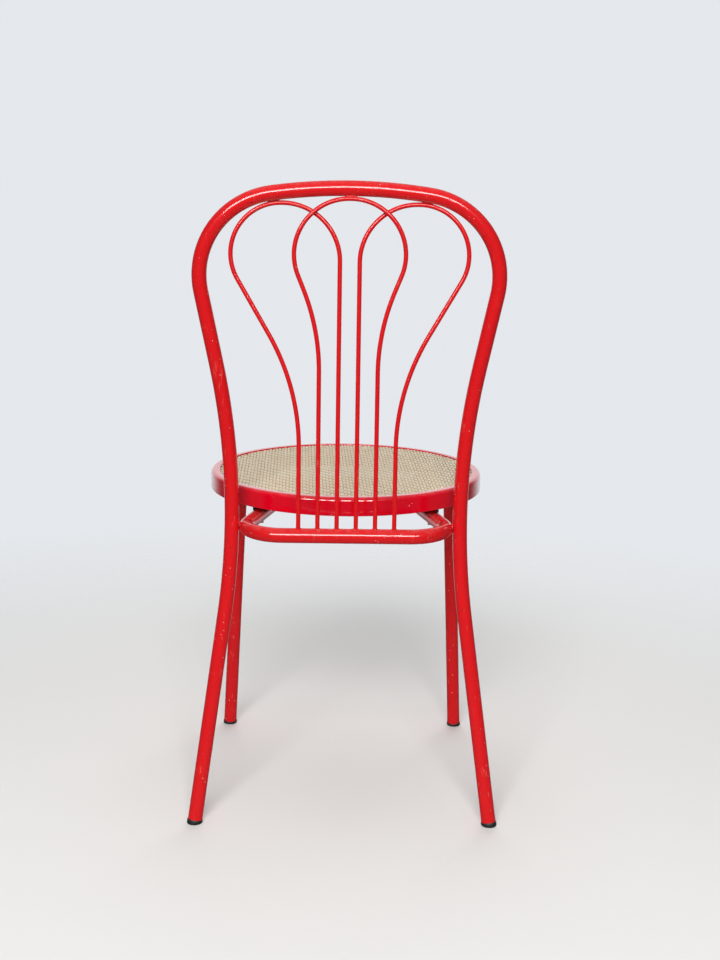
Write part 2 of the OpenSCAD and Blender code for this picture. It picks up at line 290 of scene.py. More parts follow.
def blend_colour(tree, share, first, second, kind="MIX"):
    made = place(tree, "ShaderNodeMix", data_type="RGBA", blend_type=kind)
    for socket, value in (("Factor_Float", share), ("A_Color", first), ("B_Color", second)):
        target = next(s for s in made.inputs if s.identifier == socket)
        if isinstance(value, bpy.types.NodeSocket):
            tree.links.new(value, target)
        else:
            target.default_value = value if isinstance(value, (int, float)) else (*value, 1)
    return next(s for s in made.outputs if s.identifier == "Result_Color")


def shader_group(name, inputs, outputs):
    """An empty group with named number inputs, each with its usual value, and named number outputs."""
    group = bpy.data.node_groups.new(name, "ShaderNodeTree")
    for socket, usual in inputs.items():
        made = group.interface.new_socket(socket, in_out="INPUT", socket_type="NodeSocketFloat")
        made.default_value = usual
    for socket in outputs:
        group.interface.new_socket(socket, in_out="OUTPUT", socket_type="NodeSocketFloat")
    entry = group.nodes.new("NodeGroupInput")
    leave = group.nodes.new("NodeGroupOutput")
    return group, entry.outputs, leave.inputs


def where(tree, stretch=(1, 1, 1)):
    at = place(tree, "ShaderNodeTexCoord").outputs["Object"]
    if stretch == (1, 1, 1):
        return at
    return place(tree, "ShaderNodeMapping", {"Vector": at, "Scale": stretch}).outputs["Vector"]


def grain(tree, at, scale, detail=2.0, roughness=0.5):
    return place(
        tree, "ShaderNodeTexNoise",
        {"Vector": at, "Scale": scale, "Detail": detail, "Roughness": roughness},
    ).outputs["Fac"]


def build_mottle():
    """Slow change of tone over a painted or moulded surface."""
    group, given, out = shader_group("mottle", {"Scale": 14.0, "Amount": 0.12}, ["Tone", "Cloud"])
    slow = grain(group, where(group), given["Scale"], 3.0, 0.55)
    swing = math_node(group, "SUBTRACT", slow, 0.5)
    group.links.new(math_node(group, "MULTIPLY_ADD", swing, given["Amount"], 1.0), out["Tone"])
    group.links.new(slow, out["Cloud"])
    return group


def build_chips():
    """Small knocks in paint, thick on some patches and absent on others."""
    group, given, out = shader_group(
        "chips", {"Scale": 420.0, "Patch Scale": 16.0, "Amount": 0.5}, ["Mask", "Edge"]
    )
    at = where(group)
    cells = place(
        group, "ShaderNodeTexVoronoi", {"Vector": at, "Scale": given["Scale"], "Randomness": 1.0}
    )
    ragged = grain(group, at, 1700.0, 2.0)
    spread = math_node(group, "MULTIPLY_ADD", ragged, 0.28, cells.outputs["Distance"])
    pick = place(group, "ShaderNodeSeparateColor", {"Color": cells.outputs["Color"]}).outputs["Red"]
    patch = ramp(group, grain(group, at, given["Patch Scale"], 3.0, 0.6), 0.42, 0.72)
    chance = math_node(group, "MULTIPLY", patch, given["Amount"])
    limit = math_node(group, "SUBTRACT", 1.0, chance)
    chosen = ramp(group, pick, math_node(group, "SUBTRACT", limit, 0.01), limit)
    near = math_node(group, "SUBTRACT", 1.0, ramp(group, spread, 0.30, 0.36))
    around = math_node(group, "SUBTRACT", 1.0, ramp(group, spread, 0.34, 0.50))
    group.links.new(math_node(group, "MULTIPLY", chosen, near), out["Mask"])
    group.links.new(math_node(group, "MULTIPLY", chosen, around), out["Edge"])
    return group


def build_scuffs():
    """Fine rubbed lines, long in the direction that the stretch gives."""
    group, given, out = shader_group(
        "scuffs", {"Scale": 60.0, "Length": 8.0, "Amount": 0.4}, ["Mask", "Height"]
    )
    at = where(group)
    squeeze = place(
        group, "ShaderNodeCombineXYZ",
        {"X": 1.0, "Y": 1.0, "Z": math_node(group, "DIVIDE", 1.0, given["Length"])},
    ).outputs["Vector"]
    long_way = place(group, "ShaderNodeMapping", {"Vector": at, "Scale": squeeze}).outputs["Vector"]
    lines = grain(group, long_way, math_node(group, "MULTIPLY", given["Scale"], 9.0), 2.0, 0.7)
    fields = ramp(group, grain(group, at, given["Scale"], 2.0), 0.5, 0.72)
    rubbed = math_node(group, "MULTIPLY", ramp(group, lines, 0.56, 0.7), fields)
    group.links.new(math_node(group, "MULTIPLY", rubbed, given["Amount"]), out["Mask"])
    group.links.new(lines, out["Height"])
    return group


def build_dust():
    """Thin dust that lies where a surface looks upwards."""
    group, given, out = shader_group("dust", {"Scale": 90.0, "Amount": 0.2}, ["Mask"])
    up = place(
        group, "ShaderNodeSeparateXYZ", {"Vector": place(group, "ShaderNodeNewGeometry").outputs["Normal"]}
    ).outputs["Z"]
    flat = ramp(group, up, 0.35, 0.95)
    broken = ramp(group, grain(group, where(group), given["Scale"], 4.0, 0.65), 0.35, 0.75)
    lying = math_node(group, "MULTIPLY", flat, broken)
    group.links.new(math_node(group, "MULTIPLY", lying, given["Amount"]), out["Mask"])
    return group


def build_peel():
    """The faint orange-peel of a sprayed or moulded skin, as a height."""
    group, given, out = shader_group("peel", {"Scale": 260.0, "Fine": 0.3}, ["Height"])
    at = where(group)
    coarse = grain(group, at, given["Scale"], 1.5, 0.4)
    fine = grain(group, at, math_node(group, "MULTIPLY", given["Scale"], 5.0), 1.0)
    group.links.new(math_node(group, "MULTIPLY_ADD", fine, given["Fine"], coarse), out["Height"])
    return group


def build_strand_tone():
    """Tone and fibre of woven cane strands laid side by side. Across is the place across them."""
    group, given, out = shader_group(
        "strand tone", {"Across": 0.0, "Along": 0.0, "Pitch": 0.00475}, ["Tone", "Fibre", "Specks"]
    )
    number = math_node(group, "ROUND", math_node(group, "DIVIDE", given["Across"], given["Pitch"]))
    own = place(group, "ShaderNodeTexWhiteNoise", {"W": number}, noise_dimensions="1D").outputs["Value"]
    offset = math_node(group, "MULTIPLY", own, 7.0)
    along = math_node(group, "ADD", given["Along"], offset)
    long_way = place(
        group, "ShaderNodeCombineXYZ",
        {"X": math_node(group, "MULTIPLY", given["Across"], 2600.0),
         "Y": math_node(group, "MULTIPLY", along, 60.0), "Z": own},
    ).outputs["Vector"]
    fibre = grain(group, long_way, 1.0, 3.0, 0.6)
    slow_way = place(
        group, "ShaderNodeCombineXYZ",
        {"X": math_node(group, "MULTIPLY", number, 3.1),
         "Y": math_node(group, "MULTIPLY", along, 30.0), "Z": own},
    ).outputs["Vector"]
    slow = grain(group, slow_way, 1.0, 2.0, 0.5)
    speck_way = place(
        group, "ShaderNodeCombineXYZ",
        {"X": math_node(group, "MULTIPLY", given["Across"], 900.0),
         "Y": math_node(group, "MULTIPLY", along, 260.0), "Z": number},
    ).outputs["Vector"]
    mixed = math_node(group, "MULTIPLY_ADD", own, 0.5, math_node(group, "MULTIPLY", slow, 0.5))
    group.links.new(mixed, out["Tone"])
    group.links.new(fibre, out["Fibre"])
    group.links.new(ramp(group, grain(group, speck_way, 1.0, 3.0, 0.7), 0.60, 0.74), out["Specks"])
    return group


mottle, chips, scuffs = build_mottle(), build_chips(), build_scuffs()
dust, peel, strand_tone = build_dust(), build_peel(), build_strand_tone()


# ---- Finishes ----


def finish_shell(name, **constants):
    """A material with its Principled shader, whose even values are set on its own sockets."""
    material = bpy.data.materials.new(name)
    material.use_nodes = True
    tree = material.node_tree
    shader = tree.nodes["Principled BSDF"]
    for socket, value in constants.items():
        shader.inputs[socket.replace("_", " ")].default_value = value
    return material, tree, shader


def use(tree, group, **values):
    made = place(tree, "ShaderNodeGroup", node_tree=group)
    for socket, value in values.items():
        target = made.inputs[socket.replace("_", " ")]
        if isinstance(value, bpy.types.NodeSocket):
            tree.links.new(value, target)
        else:
            target.default_value = value
    return made.outputs


def bumped(tree, shader, height, strength, distance):
    bump = place(
        tree, "ShaderNodeBump", {"Height": height, "Strength": strength, "Distance": distance}
    )
    tree.links.new(bump.outputs["Normal"], shader.inputs["Normal"])


def paint_finish(name, red, deep, knocks, knock_scale, gloss):
    """Sprayed enamel over steel: mottling, orange peel, knocks through to pale primer, rubbed haze and dust."""
    material, tree, shader = finish_shell(
        name, Metallic=0.0, IOR=1.45, Specular_IOR_Level=0.25,
        Coat_Weight=gloss, Coat_Roughness=0.07, Coat_IOR=1.5,
    )
    tone = use(tree, mottle, Scale=11.0, Amount=0.35)
    knock = use(tree, chips, Scale=knock_scale, Patch_Scale=13.0, Amount=knocks)
    dark_knock = use(tree, chips, Scale=knock_scale * 0.62, Patch_Scale=21.0, Amount=knocks * 0.35)
    rub = use(tree, scuffs, Scale=34.0, Length=7.0, Amount=0.55)
    settled = use(tree, dust, Scale=120.0, Amount=0.10)
    skin = use(tree, peel, Scale=230.0, Fine=0.12)
    base = blend_colour(tree, tone["Cloud"], red, deep)
    base = blend_colour(tree, rub["Mask"], base, (0.78, 0.12, 0.085))
    base = blend_colour(tree, knock["Edge"], base, (0.42, 0.012, 0.010))
    base = blend_colour(tree, knock["Mask"], base, (0.74, 0.50, 0.42))
    base = blend_colour(tree, dark_knock["Mask"], base, (0.085, 0.020, 0.016))
    base = blend_colour(tree, settled["Mask"], base, (0.62, 0.50, 0.46))
    tree.links.new(base, shader.inputs["Base Color"])
    rough = math_node(tree, "MULTIPLY_ADD", tone["Cloud"], 0.10, 0.20)
    rough = math_node(tree, "MULTIPLY_ADD", rub["Mask"], 0.22, rough)
    rough = math_node(tree, "MULTIPLY_ADD", knock["Mask"], 0.4, rough)
    rough = math_node(tree, "MULTIPLY_ADD", settled["Mask"], 0.5, rough, clamp=True)
    tree.links.new(rough, shader.inputs["Roughness"])
    dip = math_node(tree, "MULTIPLY", knock["Edge"], -0.8)
    height = math_node(tree, "MULTIPLY_ADD", skin["Height"], 0.10, dip)
    bumped(tree, shader, height, 0.35, 0.0004)
    return material


def rim_finish():
    """Glossy crimson lacquer, with fine wiping marks and a few tiny nicks."""
    material, tree, shader = finish_shell(
        "crimson_lacquer", Metallic=0.0, IOR=1.45, Coat_Weight=1.0, Coat_Roughness=0.05, Coat_IOR=1.6
    )
    tone = use(tree, mottle, Scale=8.0, Amount=0.2)
    nick = use(tree, chips, Scale=300.0, Patch_Scale=9.0, Amount=0.035)
    rub = use(tree, scuffs, Scale=26.0, Length=0.15, Amount=0.5)
    settled = use(tree, dust, Scale=150.0, Amount=0.12)
    skin = use(tree, peel, Scale=150.0, Fine=0.08)
    base = blend_colour(tree, tone["Cloud"], (0.78, 0.0, 0.018), (0.68, 0.0, 0.012))
    base = blend_colour(tree, rub["Mask"], base, (0.74, 0.03, 0.06))
    base = blend_colour(tree, nick["Mask"], base, (0.78, 0.52, 0.50))
    base = blend_colour(tree, settled["Mask"], base, (0.66, 0.50, 0.50))
    tree.links.new(base, shader.inputs["Base Color"])
    rough = math_node(tree, "MULTIPLY_ADD", tone["Cloud"], 0.08, 0.12)
    rough = math_node(tree, "MULTIPLY_ADD", rub["Mask"], 0.18, rough)
    rough = math_node(tree, "MULTIPLY_ADD", settled["Mask"], 0.6, rough, clamp=True)
    tree.links.new(rough, shader.inputs["Roughness"])
    dip = math_node(tree, "MULTIPLY", nick["Edge"], -0.6)
    height = math_node(tree, "MULTIPLY_ADD", skin["Height"], 0.10, dip)
    bumped(tree, shader, height, 0.3, 0.0004)
    return material


STRAND_PITCH = 0.00475
STRAND_WIDTH = 0.0039
STRAND_THICK = 0.0005
STRAND_SWING = 0.0006
WEAVE_TURN = math.radians(1.6)
weave_z = panel_top - STRAND_SWING - STRAND_THICK


def cane_finish(name, lengthwise, pale, tan):
    """Split cane: straw skin with fibres along each strand, brown specks, and painted shade on the strands' low
    parts where they pass under.
    """
    material, tree, shader = finish_shell(name, Metallic=0.0, IOR=1.5, Coat_Weight=0.12, Coat_Roughness=0.3)
    turned = place(
        tree, "ShaderNodeMapping",
        {"Vector": where(tree), "Rotation": (0, 0, -WEAVE_TURN)},
    ).outputs["Vector"]
    at = place(tree, "ShaderNodeSeparateXYZ", {"Vector": turned}).outputs
    across, along = (at["X"], at["Y"]) if lengthwise else (at["Y"], at["X"])
    strand = use(tree, strand_tone, Across=across, Along=along, Pitch=STRAND_PITCH)
    settled = use(tree, dust, Scale=60.0, Amount=0.25)
    height = place(tree, "ShaderNodeSeparateXYZ", {"Vector": where(tree)}).outputs["Z"]
    # Painted shade: the strands are darkened brown where they sink below the crossing strands.
    dive_shade = ramp(tree, height, weave_z + STRAND_THICK, weave_z - STRAND_SWING * 0.6)
    base = blend_colour(tree, strand["Tone"], tan, pale)
    base = blend_colour(tree, math_node(tree, "MULTIPLY", strand["Fibre"], 0.35), base, tan)
    base = blend_colour(tree, math_node(tree, "MULTIPLY", strand["Specks"], 0.6), base, (0.25, 0.15, 0.06))
    base = blend_colour(tree, math_node(tree, "MULTIPLY", dive_shade, 0.8), base, (0.25, 0.155, 0.07))
    base = blend_colour(tree, settled["Mask"], base, (0.74, 0.70, 0.62))
    tree.links.new(base, shader.inputs["Base Color"])
    rough = math_node(tree, "MULTIPLY_ADD", strand["Fibre"], 0.25, 0.36)
    tree.links.new(rough, shader.inputs["Roughness"])
    bumped(tree, shader, strand["Fibre"], 0.5, 0.0003)
    return material


def moulded_black(name, shade, rough_low, wear):
    """Moulded black plastic: fine skin, rubbed grey patches and dust."""
    material, tree, shader = finish_shell(name, Metallic=0.0, IOR=1.48)
    tone = use(tree, mottle, Scale=60.0, Amount=0.3)
    rub = use(tree, scuffs, Scale=110.0, Length=0.3, Amount=wear)
    settled = use(tree, dust, Scale=200.0, Amount=0.3)
    skin = use(tree, peel, Scale=900.0, Fine=0.4)
    worn = (shade * 2, shade * 1.95, shade * 1.9)
    base = blend_colour(tree, tone["Cloud"], (shade, shade, shade * 1.02), worn)
    base = blend_colour(tree, rub["Mask"], base, (0.13, 0.125, 0.12))
    base = blend_colour(tree, settled["Mask"], base, (0.26, 0.24, 0.22))
    tree.links.new(base, shader.inputs["Base Color"])
    rough = math_node(tree, "MULTIPLY_ADD", tone["Cloud"], 0.2, rough_low)
    rough = math_node(tree, "MULTIPLY_ADD", rub["Mask"], 0.3, rough, clamp=True)
    tree.links.new(rough, shader.inputs["Roughness"])
    bumped(tree, shader, skin["Height"], 0.4, 0.0002)
    return material


def zinc_finish():
    """Bright zinc plate with a slight yellow passivation, dull spots and a fine grain."""
    material, tree, shader = finish_shell("zinc_plate", IOR=1.5)
    tone = use(tree, mottle, Scale=180.0, Amount=0.3)
    spots = use(tree, chips, Scale=900.0, Patch_Scale=90.0, Amount=0.25)
    skin = use(tree, peel, Scale=1500.0, Fine=0.5)
    base = blend_colour(tree, tone["Cloud"], (0.55, 0.55, 0.53), (0.70, 0.68, 0.60))
    base = blend_colour(tree, spots["Mask"], base, (0.24, 0.20, 0.16))
    tree.links.new(base, shader.inputs["Base Color"])
    tree.links.new(
        math_node(tree, "MULTIPLY_ADD", spots["Mask"], -0.6, 1.0), shader.inputs["Metallic"]
    )
    rough = math_node(tree, "MULTIPLY_ADD", tone["Cloud"], 0.25, 0.22)
    rough = math_node(tree, "MULTIPLY_ADD", spots["Mask"], 0.4, rough, clamp=True)
    tree.links.new(rough, shader.inputs["Roughness"])
    bumped(tree, shader, skin["Height"], 0.3, 0.0001)
    return material


tube_paint = paint_finish("red_tube_enamel", (0.74, 0.010, 0.013), (0.66, 0.006, 0.010), 0.10, 330.0, 0.8)
wire_paint = paint_finish("red_wire_enamel", (0.72, 0.010, 0.013), (0.64, 0.006, 0.010), 0.05, 420.0, 0.35)
crimson = rim_finish()
# The side-to-side strands are tan cane painted darker than the front-to-back ones. This is partly their own
# tone and partly painted shade standing for the shadowed dashes between the weave's humps. The front-to-back
# strands are made paler to keep the mean tone.
cane_long = cane_finish("cane_front_to_back", True, (0.80, 0.72, 0.57), (0.67, 0.57, 0.40))
cane_cross_shaded = cane_finish("cane_side_to_side", False, (0.68, 0.565, 0.375), (0.49, 0.37, 0.205))
cap_black = moulded_black("black_cap_plastic", 0.012, 0.38, 0.8)
spacer_black = moulded_black("black_spacer_plastic", 0.016, 0.48, 0.3)
zinc = zinc_finish()


# ---- Frame tubes ----

leg_up = (waist - rear_foot).normalized()
hoop_start = rear_foot + leg_up * COLLAR
hoop_line = bent_line(
    [hoop_start, waist, shoulder, crown, mirrored(shoulder), mirrored(waist), mirrored(hoop_start)],
    [WAIST_BEND, SHOULDER_BEND, CROWN_BEND, SHOULDER_BEND, WAIST_BEND],
)
hoop = Shape()
hoop.tube(hoop_line, TUBE_R, around=48)
hoop = hoop.piece("bent_back_hoop", tube_paint, "frame_paint")
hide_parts("back_hoop")

cross_bar = (Vector((0, cross_y, bar_z)), TUBE_R)
bar_line = bent_line(
    [rail_end, bar_corner, mirrored(bar_corner), mirrored(rail_end)], [BAR_BEND, BAR_BEND]
)
bar = Shape()
bar_rings = bar.tube(bar_line, TUBE_R, around=48, start_cope=cross_bar, finish_cope=cross_bar)
bar = bar.piece("bent_seat_bar", tube_paint, "frame_paint")
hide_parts("seat_bar")

front_up = (front_corner - front_foot).normalized()
front_start = front_foot + front_up * COLLAR
front = Shape()
front.tube(
    bent_line(
        [front_start, front_corner, mirrored(front_corner), mirrored(front_start)],
        [FRONT_BEND, FRONT_BEND],
    ),
    TUBE_R,
    around=48,
)
front = front.piece("bent_front_frame", tube_paint, "frame_paint")
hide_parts("front_frame")


# ---- Wire loops ----

WELD_GAP = 0.0002
SIDE_INNER_BEND, SIDE_OUTER_BEND, SIDE_RUN = 0.074, 0.065, 0.0818
MIDDLE_BEND, MIDDLE_RUN = 0.071, 0.0205
SIDE_SLOPE, MIDDLE_SLOPE = math.radians(30), math.radians(22)
LOOP_FLAT = 0.002


def low_bend(slope_x, slope, top_bend, run):
    """Radius of the bend at the foot of a slope that leaves a straight run below the slope's top bend."""
    slope_long = slope_x / math.sin(slope)
    return (slope_long - top_bend * math.tan(math.pi / 4 + slope / 2) - run) / math.tan(slope / 2)


loop_stagger = WIRE_R * (1 + BEND_SHARE) + WELD_GAP / 2
loop_reach = (TUBE_R + WIRE_R) * (1 + BEND_SHARE) + WELD_GAP
loop_drop = math.sqrt(loop_reach**2 - loop_stagger**2)
middle_top = hoop_top - loop_drop
side_flat_end = WIRE_PITCH / 2 + SIDE_INNER_BEND + LOOP_FLAT
side_centre_reach = CROWN_BEND - SIDE_OUTER_BEND - loop_drop
side_centre_z = hoop_top - CROWN_BEND + math.sqrt(side_centre_reach**2 - side_flat_end**2)
side_top = side_centre_z + SIDE_OUTER_BEND
side_corner_x = side_flat_end + SIDE_OUTER_BEND * math.tan(math.pi / 4 + SIDE_SLOPE / 2)
side_slope_x = side_corner_x - 2.5 * WIRE_PITCH
side_knee_z = side_top - side_slope_x / math.tan(SIDE_SLOPE)
side_low_bend = low_bend(side_slope_x, SIDE_SLOPE, SIDE_OUTER_BEND, SIDE_RUN)
middle_corner_x = LOOP_FLAT / 2 + MIDDLE_BEND * math.tan(math.pi / 4 + MIDDLE_SLOPE / 2)
middle_slope_x = middle_corner_x - 1.5 * WIRE_PITCH
middle_knee_z = middle_top - middle_slope_x / math.tan(MIDDLE_SLOPE)
middle_low_bend = low_bend(middle_slope_x, MIDDLE_SLOPE, MIDDLE_BEND, MIDDLE_RUN)


def stood_loop(corners, top_y, top_z):
    """Stands a loop drawn in the XZ plane on the seat bar, leaning so that its top comes under the crown."""
    tilt = math.atan2(top_y - bar_y, top_z - bar_z)
    return [
        Vector((x, bar_y + (z - bar_z) * math.sin(tilt), bar_z + (z - bar_z) * math.cos(tilt)))
        for x, z in corners
    ]


seat_bar_round = (Vector((0, bar_y, bar_z)), TUBE_R)
foot_z = bar_z + TUBE_R


def wire_loop(name, node, corners, radii, top_y, top_z):
    """One bent wire whose two ends are cut to fit the seat bar."""
    line = bent_line(stood_loop(corners, top_y, top_z), radii, reach=0.002, turn=math.radians(3))
    shape = Shape()
    rings = shape.tube(line, WIRE_R, around=24, start_cope=seat_bar_round, finish_cope=seat_bar_round)
    made = shape.piece(name, wire_paint, "wire_paint")
    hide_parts(node)
    return line, rings


def side_corners(side):
    inner, outer, corner = side * WIRE_PITCH / 2, side * 2.5 * WIRE_PITCH, side * side_corner_x
    return [(inner, foot_z), (inner, side_top), (corner, side_top), (outer, side_knee_z), (outer, foot_z)]


side_radii = [SIDE_INNER_BEND, SIDE_OUTER_BEND, side_low_bend]
side_y, middle_y = crown_y - loop_stagger, crown_y + loop_stagger
left_line, left_rings = wire_loop(
    "left_wire_loop", "wire_loop_left", side_corners(1), side_radii, side_y, side_top
)
right_line, right_rings = wire_loop(
    "right_wire_loop", "wire_loop_right", side_corners(-1), side_radii, side_y, side_top
)
middle_half = [(1.5 * WIRE_PITCH, foot_z), (1.5 * WIRE_PITCH, middle_knee_z), (middle_corner_x, middle_top)]
middle_line, middle_rings = wire_loop(
    "middle_wire_loop",
    "wire_loop_middle",
    middle_half + [(-x, z) for x, z in reversed(middle_half)],
    [middle_low_bend, MIDDLE_BEND, MIDDLE_BEND, middle_low_bend],
    middle_y,
    middle_top,
)

# ---- Weld metal ----

WIRE_FOOT_BEAD, RAIL_END_BEAD = 0.00075, 0.0013
CROWN_BEAD, CROSSING_BEAD, LEG_BEAD = 0.0010, 0.0015, 0.0012
CROWN_RUN, CROWN_APART = 0.008, 0.0019
LEG_BEAD_R = 0.0052

rng = random.Random(7)
welds = Shape()


def ring_bead(ring, spread, size):
    """A bead all round the cut end of a tube or wire, a little outside it."""
    centre = sum(ring, Vector()) / len(ring)
    welds.bead([centre + (p - centre) * spread for p in ring], size, rng, closed=True)


for rings in (left_rings, right_rings, middle_rings):
    for ring in (rings[0], rings[-1]):
        ring_bead(ring, 1.06, WIRE_FOOT_BEAD)
for ring in (bar_rings[0], bar_rings[-1]):
    ring_bead(ring, 1.03, RAIL_END_BEAD)


def nearest_pair(first, second):
    return min(((a, b) for a, _ in first for b, _ in second), key=lambda ab: (ab[0] - ab[1]).length)


def seam_beads(middle, along, apart, reach, size):
    """Two short runs of weld in the crevices on both sides of a line where two tubes touch."""
    for side in (1, -1):
        path = [middle + along * (reach * t / 8) + apart * side for t in range(-8, 9)]
        welds.bead(path, size, rng)


# Each loop meets the underside of the crown: the side loops partway down its curve, the middle one at its top.
side_rise = math.asin(side_flat_end / side_centre_reach)
for rise, wire_y in ((side_rise, side_y), (-side_rise, side_y), (0, middle_y)):
    contact = Vector((
        (CROWN_BEND - TUBE_R) * math.sin(rise),
        crown_y + (wire_y - crown_y) * 0.75,
        hoop_top - CROWN_BEND + (CROWN_BEND - TUBE_R) * math.cos(rise),
    ))
    along = Vector((math.cos(rise), 0, -math.sin(rise)))
    seam_beads(contact, along, Vector((0, CROWN_APART, 0)), CROWN_RUN, CROWN_BEAD)

for line in (left_line, right_line):
    a, b = nearest_pair(line, middle_line)
    meet = (a + b) / 2
    welds.bead([meet + Vector((0.0004 * t, 0, 0.0007 * t)) for t in range(-4, 5)], CROSSING_BEAD, rng)

for side in (1, -1):
    leg = min(hoop_line, key=lambda pd: (pd[0] - Vector((side * 0.155, bar_y - BAR_BEND, bar_z))).length)
    leg_at = leg[0] + leg[1] * ((bar_z - leg[0].z) / leg[1].z)
    meet = Vector((side * (bar_x + TUBE_R + 0.0001), leg_at.y, bar_z))
    for turn in (1, -1):
        path = [
            meet + Vector((0, LEG_BEAD_R * math.cos(t) * 0.9, LEG_BEAD_R * math.sin(t)))
            for t in (turn * math.radians(a) for a in range(20, 161, 10))
        ]
        welds.bead(path, LEG_BEAD, rng)
welds = welds.piece("frame_welds", tube_paint, "frame_paint", sharp=60)


# ---- Seat ----


def quarter(centre, radius, start, count=8):
    """Points round a quarter circle, from a start angle in degrees, anticlockwise."""
    return [
        (
            centre[0] + radius * math.cos(math.radians(start + 90 * k / count)),
            centre[1] + radius * math.sin(math.radians(start + 90 * k / count)),
        )
        for k in range(count + 1)
    ]


RIM_WIDTH, RIM_BAND, RIM_ROUND, RIM_UNDER_ROUND = 0.060, 0.013, 0.006, 0.002
rim_height = seat_top - rim_under
ledge = panel_low.z - rim_under
band_inside, rim_inside = seat_r - RIM_BAND, seat_r - RIM_WIDTH
rim_profile = (
    [(rim_inside + 0.0006, 0)]
    + quarter((seat_r - RIM_UNDER_ROUND, RIM_UNDER_ROUND), RIM_UNDER_ROUND, 270)
    + quarter((seat_r - RIM_ROUND, rim_height - RIM_ROUND), RIM_ROUND, 0, 12)
    + quarter((band_inside + 0.0009, rim_height - 0.0009), 0.0009, 90, 5)
    + [(band_inside, ledge), (rim_inside + 0.0006, ledge), (rim_inside, ledge - 0.0006), (rim_inside, 0.0006)]
)
rim = Shape()
rim.lathe(rim_profile, Vector((seat_mid.x, seat_mid.y, rim_under)), around=288)
rim = rim.piece("turned_seat_rim", crimson, "rim_plastic", sharp=35)
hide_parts("seat_rim")

weave_r = seat_r - RIM_BAND - 0.0004
weave_axis = Matrix.Rotation(WEAVE_TURN, 3, "Z")


def strands(name, lengthwise, material):
    """Flat strands side by side in a twill: each goes over two of the strands that cross it, then under two."""
    shape, woven = Shape(), random.Random(11 if lengthwise else 12)
    turned_mid = weave_axis.inverted() @ Vector((seat_mid.x, seat_mid.y, 0))
    if lengthwise:
        across_way, along_way, over = Vector((1, 0, 0)), Vector((0, 1, 0)), 1
        mid_across, mid_along = turned_mid.x, turned_mid.y
    else:
        across_way, along_way, over = Vector((0, 1, 0)), Vector((1, 0, 0)), -1
        mid_across, mid_along = turned_mid.y, turned_mid.x
    count = int(weave_r / STRAND_PITCH)
    for i in range(-count - 1, count + 2):
        place_across = (round(mid_across / STRAND_PITCH) + i) * STRAND_PITCH
        off = abs(place_across - mid_across)
        if off > weave_r - STRAND_WIDTH * 0.6:
            continue
        half = math.sqrt(weave_r**2 - (off + STRAND_WIDTH / 2) ** 2)
        wide = STRAND_WIDTH * woven.uniform(0.94, 1.05)
        drift = woven.uniform(-0.0001, 0.0001)
        sideways = weave_axis @ across_way * (wide / 2)
        steps = max(2, int(2 * half / (STRAND_PITCH / 4)))
        rings = []
        for k in range(steps + 1):
            along = mid_along - half + 2 * half * k / steps
            wave = over * math.cos(math.pi / 2 * ((along + place_across) / STRAND_PITCH - 0.5))
            base = weave_axis @ (across_way * (place_across + drift) + along_way * along)
            base.z = weave_z + STRAND_SWING * max(-1, min(1, wave * 1.5))
            top = base + Vector((0, 0, STRAND_THICK))
            rings.append([base - sideways, base + sideways, top + sideways * 0.62, top - sideways * 0.62])
        shape.skin(rings)
    return shape.piece(name, material, "cane", sharp=50)


long_strands = strands("cane_strands_front_to_back", True, cane_long)
cross_strands = strands("cane_strands_side_to_side", False, cane_cross_shaded)
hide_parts("cane_panel")


# ---- Foot caps, spacers and screws ----


def foot_cap(name, node, foot, above):
    """Moulded cap: a rounded collar round the leg, flat on the floor, over a plug inside the tube."""
    up = (above - foot).normalized()
    side = up.orthogonal().normalized()
    other = up.cross(side)
    profile = [
        (0.0, 0.0), (COLLAR_R - 0.0014, 0.0), (COLLAR_R - 0.0006, 0.0002), (COLLAR_R - 0.0001, 0.0009),
        (COLLAR_R, 0.0018), (COLLAR_R, COLLAR - 0.0022), (COLLAR_R - 0.0001, COLLAR - 0.0010),
        (COLLAR_R - 0.0003, COLLAR - 0.0003), (COLLAR_R - 0.0007, COLLAR), (PLUG_R, COLLAR),
        (PLUG_R - 0.0001, COLLAR + 0.0130), (PLUG_R - 0.0007, COLLAR + 0.0139), (0.0, COLLAR + 0.0139),
    ]
    around = 48
    rings = []
    for r, h in profile:
        ring = []
        for k in range(around):
            t = 2 * math.pi * k / around
            p = foot + up * h + (side * math.cos(t) + other * math.sin(t)) * max(r, 0.0002)
            if h < COLLAR:
                # The wall turns from level at the floor to square with the leg at the collar's top.
                level = h + (p.z - h) * h / COLLAR
                p += up * ((level - p.z) / up.z)
            ring.append(p)
        rings.append(ring)
    shape = Shape()
    shape.skin(rings)
    made = shape.piece(name, cap_black, "cap_plastic", sharp=40)
    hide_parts(node)


foot_cap("rear_left_foot_cap", "foot_cap_rear_left", rear_foot, waist)
foot_cap("rear_right_foot_cap", "foot_cap_rear_right", mirrored(rear_foot), mirrored(waist))
foot_cap("front_left_foot_cap", "foot_cap_front_left", front_foot, front_corner)
foot_cap("front_right_foot_cap", "foot_cap_front_right", mirrored(front_foot), mirrored(front_corner))

# The spacers and screws keep the shapes they have and take a finish each.
for node, material in {
    "spacer_rear_left": spacer_black,
    "spacer_rear_right": spacer_black,
    "spacer_front_left": spacer_black,
    "spacer_front_right": spacer_black,
    "rear_seat_screws": zinc,
    "front_seat_screws": zinc,
}.items():
    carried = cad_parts[node]
    carried.data.materials.clear()
    carried.data.materials.append(material)


# ---- Floor, light and camera ----

FLOOR_REACH = 4.0
floor_mesh = bpy.data.meshes.new("floor")
floor_edge = [
    (FLOOR_REACH * math.cos(math.tau * k / 96), FLOOR_REACH * math.sin(math.tau * k / 96), 0)
    for k in range(96)
]
floor_mesh.from_pydata(floor_edge, [], [tuple(range(96))])
floor = bpy.data.objects.new("floor", floor_mesh)
bpy.context.scene.collection.objects.link(floor)
